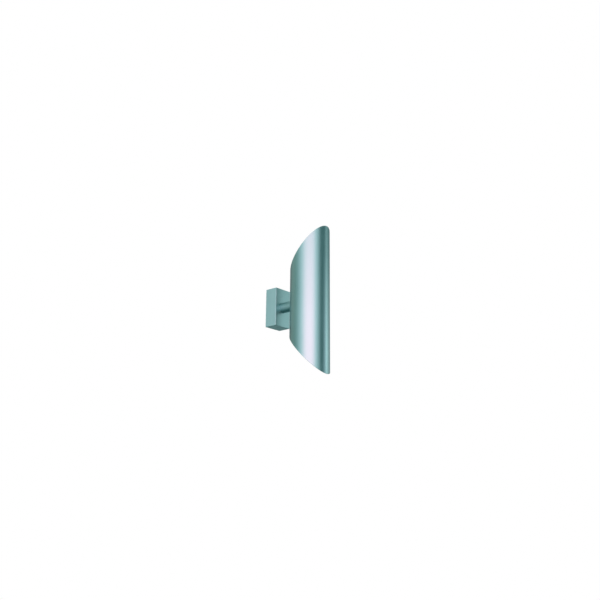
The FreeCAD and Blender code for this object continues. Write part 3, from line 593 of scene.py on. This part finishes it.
class SCONCE_OT_wall_box(SconceStep):
    """Finish the small upright box on the wall"""
    bl_idname = "sconce.wall_box"
    bl_label = "Wall Box"

    def execute(self, context):
        choice = context.scene.sconce_finishes
        # The box's colour is painted lighter than the tube's, as painted light
        finish_nodes(satin_aluminium("satin_aluminium_box", shaded(choice.satin_colour, BOX_PAINTED_LIGHT),
                                     choice.satin_roughness + BOX_DULLING, choice.grain_width,
                                     ALONG_X, side_axis=ALONG_Z, contrast=BOX_CONTRAST), "wall_box")
        return {"FINISHED"}


class SCONCE_OT_stub_arm(SconceStep):
    """Finish the short round arm"""
    bl_idname = "sconce.stub_arm"
    bl_label = "Arm"

    def execute(self, context):
        choice = context.scene.sconce_finishes
        # The arm's colour is painted darker than the tube's, as painted shade
        finish_nodes(satin_aluminium("satin_aluminium_arm", shaded(choice.satin_colour, ARM_PAINTED_SHADE),
                                     choice.satin_roughness, choice.grain_width, ALONG_Y), "stub_arm")
        return {"FINISHED"}


class SCONCE_OT_baffles(SconceStep):
    """Finish the plates round the lamps and the seat inside the tube"""
    bl_idname = "sconce.baffles"
    bl_label = "Baffles"

    def execute(self, context):
        choice = context.scene.sconce_finishes
        finish_nodes(satin_aluminium("baffle_aluminium", choice.baffle_colour, BAFFLE_ROUGHNESS,
                                     choice.grain_width, ALONG_Y),
                     "upper_baffle", "lower_baffle", "saddle_block")
        return {"FINISHED"}


class SCONCE_OT_lamps(SconceStep):
    """Make the faceted reflectors and filaments, and finish the other lamp pieces"""
    bl_idname = "sconce.lamps"
    bl_label = "Lamps"

    def execute(self, context):
        choice = context.scene.sconce_finishes
        sizes = context.scene.sconce_lamp_sizes
        mirror = coated_mirror("lamp_mirror", choice.mirror_colour)
        wire = filament_wire("filament_wire", choice.filament_colour)
        glass = pressed_glass("lamp_glass", choice.glass_colour)
        ceramic = fired_ceramic("lamp_ceramic", choice.ceramic_colour)
        pins = zinc_steel("lamp_pin_steel", choice.steel_colour)
        stand = Matrix.Translation((0, TUBE_AXIS_Y, LAMP_SEAT))
        for side, turn in (("upper", Matrix.Identity(4)), ("lower", HALF_TURN)):
            body = f"{side}_lamp"

            def reflector(form):
                faceted_reflector(sizes, form)
                form.transform(turn @ stand)

            def coil(form):
                filament(sizes, form)
                form.transform(turn @ stand)

            shell = mesh_piece(f"{side}_faceted_reflector", reflector, mirror, body)
            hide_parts(f"{side}_lamp_reflector")
            mesh_piece(f"{side}_filament", coil, wire, body)
            finish_nodes(glass, f"{side}_lamp_capsule", f"{side}_lamp_glass")
            finish_nodes(ceramic, f"{side}_lamp_base")
            finish_nodes(pins, f"{side}_lamp_pins")
        return {"FINISHED"}


class SCONCE_OT_lampholders(SconceStep):
    """Finish the lampholders and their contacts"""
    bl_idname = "sconce.lampholders"
    bl_label = "Lampholders"

    def execute(self, context):
        choice = context.scene.sconce_finishes
        finish_nodes(fired_ceramic("holder_ceramic", choice.ceramic_colour),
                     "upper_lampholder", "lower_lampholder")
        finish_nodes(brass("contact_brass", choice.brass_colour), "holder_contacts")
        return {"FINISHED"}


class SCONCE_OT_steel_parts(SconceStep):
    """Finish the wall plate, the bracket and everything that clamps the light together"""
    bl_idname = "sconce.steel_parts"
    bl_label = "Plates and Bracket"

    def execute(self, context):
        choice = context.scene.sconce_finishes
        finish_nodes(zinc_steel("plate_steel", choice.steel_colour), "wall_plate", "backing_plate",
                     "lamp_bracket", "arm_nipple", "pillars", "earth_tags")
        return {"FINISHED"}


class SCONCE_OT_fasteners(SconceStep):
    """Finish the screws, nuts, washers and dowels"""
    bl_idname = "sconce.fasteners"
    bl_label = "Fasteners"

    def execute(self, context):
        choice = context.scene.sconce_finishes
        finish_nodes(zinc_steel("fastener_steel", shaded(choice.steel_colour, 1.08)),
                     "box_screws", "block_screws", "earth_screws", "terminal_screws", "holder_screws",
                     "pillar_screws", "baffle_screws", "nipple_nuts", "lock_washers", "box_dowels",
                     "shade_dowels")
        return {"FINISHED"}


class SCONCE_OT_terminals(SconceStep):
    """Finish the terminal block, its brass clamps and the bushes that protect cable and leads"""
    bl_idname = "sconce.terminals"
    bl_label = "Terminals and Bushes"

    def execute(self, context):
        choice = context.scene.sconce_finishes
        finish_nodes(moulded_plastic("terminal_plastic", choice.plastic_colour),
                     "terminal_block", "nipple_bushes")
        finish_nodes(brass("terminal_brass", choice.brass_colour), "terminal_inserts")
        finish_nodes(black_rubber("bush_rubber", choice.rubber_colour), "cable_bush")
        return {"FINISHED"}


class SCONCE_OT_leads(SconceStep):
    """Finish the insulated leads"""
    bl_idname = "sconce.leads"
    bl_label = "Leads"

    def execute(self, context):
        choice = context.scene.sconce_finishes
        finish_nodes(lead_insulation("brown_insulation", choice.live_colour), "live_leads")
        finish_nodes(lead_insulation("blue_insulation", choice.neutral_colour), "neutral_leads")
        finish_nodes(striped_insulation("earth_insulation", choice.earth_green, choice.earth_yellow),
                     "earth_leads")
        return {"FINISHED"}


# Stage

def bearing(azimuth, elevation):
    """The direction from the light towards a bearing and a height above the horizon."""
    return Vector((math.sin(azimuth) * math.cos(elevation), -math.cos(azimuth) * math.cos(elevation),
                   math.sin(elevation)))


def facing(place, target):
    """A matrix at a place whose -z looks at a target and whose x is level."""
    back = (place - target).normalized()
    right = Vector((0, 0, 1)).cross(back).normalized()
    up = back.cross(right)
    turned = Matrix((right, up, back)).transposed()
    return Matrix.Translation(place) @ turned.to_4x4()


def soft_light(name, azimuth, elevation, distance, size, level, colour):
    """A rectangular soft light of a given brightness, aimed at the middle of the sconce."""
    lamp = bpy.data.lights.new(name, "AREA")
    lamp.shape = "RECTANGLE"
    lamp.size, lamp.size_y = size
    lamp.energy = level * math.pi * size[0] * size[1]
    lamp.color = colour
    light = bpy.data.objects.new(name, lamp)
    target = Vector((0, TUBE_AXIS_Y, 0))
    place = target + distance * bearing(math.radians(azimuth), math.radians(elevation))
    light.matrix_world = facing(place, target)
    light.visible_camera = False
    light.visible_glossy = False
    bpy.context.scene.collection.objects.link(light)


class TentPanel(NamedTuple):
    """A glowing panel of the light tent, with its angles in degrees and a colour where 1 is white."""
    bearing: float    # of the panel's middle, where 0 is straight in front of the light
    reach: float      # from the middle to where the glow ends
    colour: tuple
    below: float      # share of the colour at the lowest of the tent's heights
    above: float      # share of the colour at the highest


TENT_RADIUS = 1.2
TENT_BOTTOM, TENT_TOP = -0.9, 1.3
TENT_SIDES = 96
TENT_TONE = (0.07, 0.18, 0.18)        # of the cloth between the panels
TENT_HEIGHTS = (-0.35, 0.10, 0.60)    # a panel has its full colour at the middle one

# The first two make the tube's wide pale band, the fourth to the sixth its narrow one
TENT_PANELS = (
    TentPanel(bearing=-80, reach=70, colour=(1.30, 1.32, 1.38), below=0.65, above=0.85),
    TentPanel(bearing=-80, reach=36, colour=(2.15, 0.45, 0.70), below=0.30, above=0.48),
    TentPanel(bearing=-160, reach=34, colour=(0.14, 0.18, 0.15), below=1.15, above=1.55),
    TentPanel(bearing=27, reach=25, colour=(0.50, 0.46, 0.52), below=0.65, above=0.0),
    TentPanel(bearing=45, reach=20, colour=(0.70, 0.75, 0.75), below=0.05, above=0.35),
    TentPanel(bearing=60, reach=45, colour=(0.50, 0.44, 0.44), below=0.20, above=0.20),
    TentPanel(bearing=110, reach=45, colour=(0.16, 0.13, 0.13), below=1.40, above=0.70),
    TentPanel(bearing=175, reach=45, colour=(0.15, 0.06, 0.06), below=1.0, above=1.0),
)


def panel_glow(tree, place, height, panel):
    """What one panel adds to the tent's colour at a place on its cloth."""
    towards = tree.nodes.new("ShaderNodeVectorMath")
    towards.operation = "DOT_PRODUCT"
    towards.inputs[1].default_value = bearing(math.radians(panel.bearing), 0) / TENT_RADIUS
    tree.links.new(place, towards.inputs[0])
    share = map_range(tree, towards.outputs["Value"], (math.cos(math.radians(panel.reach)), 1.0),
                      (0.0, 1.0), "SMOOTHSTEP")
    low, level, high = TENT_HEIGHTS
    for heights, shares in (((low, level), (panel.below, 1.0)), ((level, high), (1.0, panel.above))):
        share = calculate(tree, "MULTIPLY", share, map_range(tree, height, heights, shares))
    glow = tree.nodes.new("ShaderNodeVectorMath")
    glow.operation = "SCALE"
    glow.inputs[0].default_value = panel.colour
    tree.links.new(share, glow.inputs["Scale"])
    return glow.outputs["Vector"]


def tent_cloth():
    """The tent's glowing cloth, its own tone with the panels added."""
    material, tree = empty_material("tent_cloth")
    place = tree.nodes.new("ShaderNodeTexCoord").outputs["Object"]
    parts = tree.nodes.new("ShaderNodeSeparateXYZ")
    tree.links.new(place, parts.inputs["Vector"])
    tone = tree.nodes.new("ShaderNodeCombineXYZ")
    for socket, channel in zip(tone.inputs, TENT_TONE):
        socket.default_value = channel
    colour = tone.outputs["Vector"]
    for panel in TENT_PANELS:
        total = tree.nodes.new("ShaderNodeVectorMath")
        total.operation = "ADD"
        tree.links.new(colour, total.inputs[0])
        tree.links.new(panel_glow(tree, place, parts.outputs["Z"], panel), total.inputs[1])
        colour = total.outputs["Vector"]
    glow = tree.nodes.new("ShaderNodeEmission")
    tree.links.new(colour, glow.inputs["Color"])
    output = tree.nodes.new("ShaderNodeOutputMaterial")
    tree.links.new(glow.outputs["Emission"], output.inputs["Surface"])
    return material


def light_tent():
    """A round cloth tent, open at the top, that shows only as a reflection."""
    mesh = bpy.data.meshes.new("light_tent")
    form = bmesh.new()
    turns = [2 * math.pi * k / TENT_SIDES for k in range(TENT_SIDES)]
    circle = [(TENT_RADIUS * math.sin(turn), -TENT_RADIUS * math.cos(turn)) for turn in turns]
    rings = [[form.verts.new((x, y, height)) for x, y in circle] for height in (TENT_BOTTOM, TENT_TOP)]
    ring_faces(form, rings, closed=False)
    form.faces.new(rings[0])
    form.to_mesh(mesh)
    form.free()
    mesh.materials.append(tent_cloth())
    tent = bpy.data.objects.new("light_tent", mesh)
    tent.location = (0, TUBE_AXIS_Y, 0)
    tent.visible_camera = False
    tent.visible_diffuse = False
    tent.visible_transmission = False
    tent.visible_shadow = False
    bpy.context.scene.collection.objects.link(tent)


def white_surroundings(level):
    """White to the camera, in reflections and through glass, and a chosen level on matt surfaces."""
    world = bpy.data.worlds.new("white_surroundings")
    bpy.context.scene.world = world
    world.use_nodes = True
    tree = world.node_tree
    tree.nodes.clear()
    path = tree.nodes.new("ShaderNodeLightPath")
    seen = path.outputs["Is Camera Ray"]
    for ray in ("Is Glossy Ray", "Is Transmission Ray"):
        seen = calculate(tree, "MAXIMUM", seen, path.outputs[ray])
    background = tree.nodes.new("ShaderNodeBackground")
    background.inputs["Color"].default_value = (1, 1, 1, 1)
    strength = map_range(tree, seen, (0.0, 1.0), (level, 1.0))
    tree.links.new(strength, background.inputs["Strength"])
    output = tree.nodes.new("ShaderNodeOutputWorld")
    tree.links.new(background.outputs["Background"], output.inputs["Surface"])


FLOOR_REACH = 30           # from the floor's middle to each edge
FLOOR_FADE = (0.5, 2.0)    # distances from its middle between which it fades to white


def floor_paint(colour):
    """Matt paint that turns to plain white away from the floor's middle."""
    material, tree = empty_material("pale_floor")
    matt = tree.nodes.new("ShaderNodeBsdfDiffuse")
    matt.inputs["Color"].default_value = (*colour, 1)
    white = tree.nodes.new("ShaderNodeEmission")
    space = tree.nodes.new("ShaderNodeTexCoord")
    reach = tree.nodes.new("ShaderNodeVectorMath")
    reach.operation = "LENGTH"
    tree.links.new(space.outputs["Object"], reach.inputs[0])
    fade = map_range(tree, reach.outputs["Value"], FLOOR_FADE, (0.0, 1.0), "SMOOTHSTEP")
    mix = tree.nodes.new("ShaderNodeMixShader")
    tree.links.new(fade, mix.inputs["Fac"])
    tree.links.new(matt.outputs["BSDF"], mix.inputs[1])
    tree.links.new(white.outputs["Emission"], mix.inputs[2])
    output = tree.nodes.new("ShaderNodeOutputMaterial")
    tree.links.new(mix.outputs["Shader"], output.inputs["Surface"])
    return material


def pale_floor(colour, height):
    """A matt floor that runs out into the white surroundings."""
    mesh = bpy.data.meshes.new("floor")
    form = bmesh.new()
    bmesh.ops.create_grid(form, x_segments=8, y_segments=8, size=FLOOR_REACH)
    form.to_mesh(mesh)
    form.free()
    mesh.materials.append(floor_paint(colour))
    floor = bpy.data.objects.new("floor", mesh)
    floor.location = (0, TUBE_AXIS_Y, height)
    bpy.context.scene.collection.objects.link(floor)


def photograph_camera(choice):
    """The camera, below the light and to its left."""
    camera = bpy.data.cameras.new("camera")
    camera.lens = choice.focal_length
    camera.sensor_width = 36
    camera.clip_start = 0.01
    camera.clip_end = 100
    eye = bpy.data.objects.new("camera", camera)
    aim = Vector(choice.view_aim)
    place = aim + choice.view_distance * bearing(choice.view_azimuth, choice.view_elevation)
    eye.matrix_world = facing(place, aim) @ Matrix.Rotation(choice.view_roll, 4, "Z")
    bpy.context.scene.collection.objects.link(eye)
    bpy.context.scene.camera = eye


class SCONCE_OT_stage(SconceStep):
    """Set up the camera, the soft lights, the white surroundings and the floor"""
    bl_idname = "sconce.stage"
    bl_label = "Stage"

    def execute(self, context):
        choice = context.scene.sconce_stage
        context.scene.view_settings.view_transform = "Standard"
        photograph_camera(choice)
        white_surroundings(choice.surround_level)
        pale_floor(choice.floor_colour, choice.floor_height)
        soft_light("key_light", azimuth=-84, elevation=8, distance=1.6, size=(1.7, 1.5),
                   level=choice.key_level, colour=(1.0, 0.90, 0.96))
        soft_light("fill_light", azimuth=42, elevation=14, distance=1.8, size=(0.8, 1.4),
                   level=choice.fill_level, colour=(0.92, 1.0, 1.0))
        light_tent()
        return {"FINISHED"}


STEPS = (SCONCE_OT_shade_tube, SCONCE_OT_wall_box, SCONCE_OT_stub_arm, SCONCE_OT_baffles,
         SCONCE_OT_lamps, SCONCE_OT_lampholders, SCONCE_OT_steel_parts, SCONCE_OT_fasteners,
         SCONCE_OT_terminals, SCONCE_OT_leads, SCONCE_OT_stage)


class SCONCE_PT_panel(bpy.types.Panel):
    """Lists the sconce's steps in the sidebar"""
    bl_idname = "SCONCE_PT_panel"
    bl_label = "Wall Sconce"
    bl_space_type = "VIEW_3D"
    bl_region_type = "UI"
    bl_category = "Sconce"

    def draw(self, context):
        column = self.layout.column(align=True)
        for step in STEPS:
            column.operator(step.bl_idname)
        scene = context.scene
        for group in (scene.sconce_finishes, scene.sconce_lamp_sizes, scene.sconce_stage):
            box = self.layout.box()
            for name in group.__annotations__:
                box.prop(group, name)


CLASSES = (SconceFinishes, SconceLampSizes, SconceStage, *STEPS, SCONCE_PT_panel)


def register():
    for cls in CLASSES:
        bpy.utils.register_class(cls)
    bpy.types.Scene.sconce_finishes = PointerProperty(type=SconceFinishes)
    bpy.types.Scene.sconce_lamp_sizes = PointerProperty(type=SconceLampSizes)
    bpy.types.Scene.sconce_stage = PointerProperty(type=SconceStage)


def unregister():
    del bpy.types.Scene.sconce_stage
    del bpy.types.Scene.sconce_lamp_sizes
    del bpy.types.Scene.sconce_finishes
    for cls in reversed(CLASSES):
        bpy.utils.unregister_class(cls)


def main():
    """Run every step in order."""
    register()
    for step in STEPS:
        family, name = step.bl_idname.split(".")
        getattr(getattr(bpy.ops, family), name)()


if __name__ == "__main__":
    main()
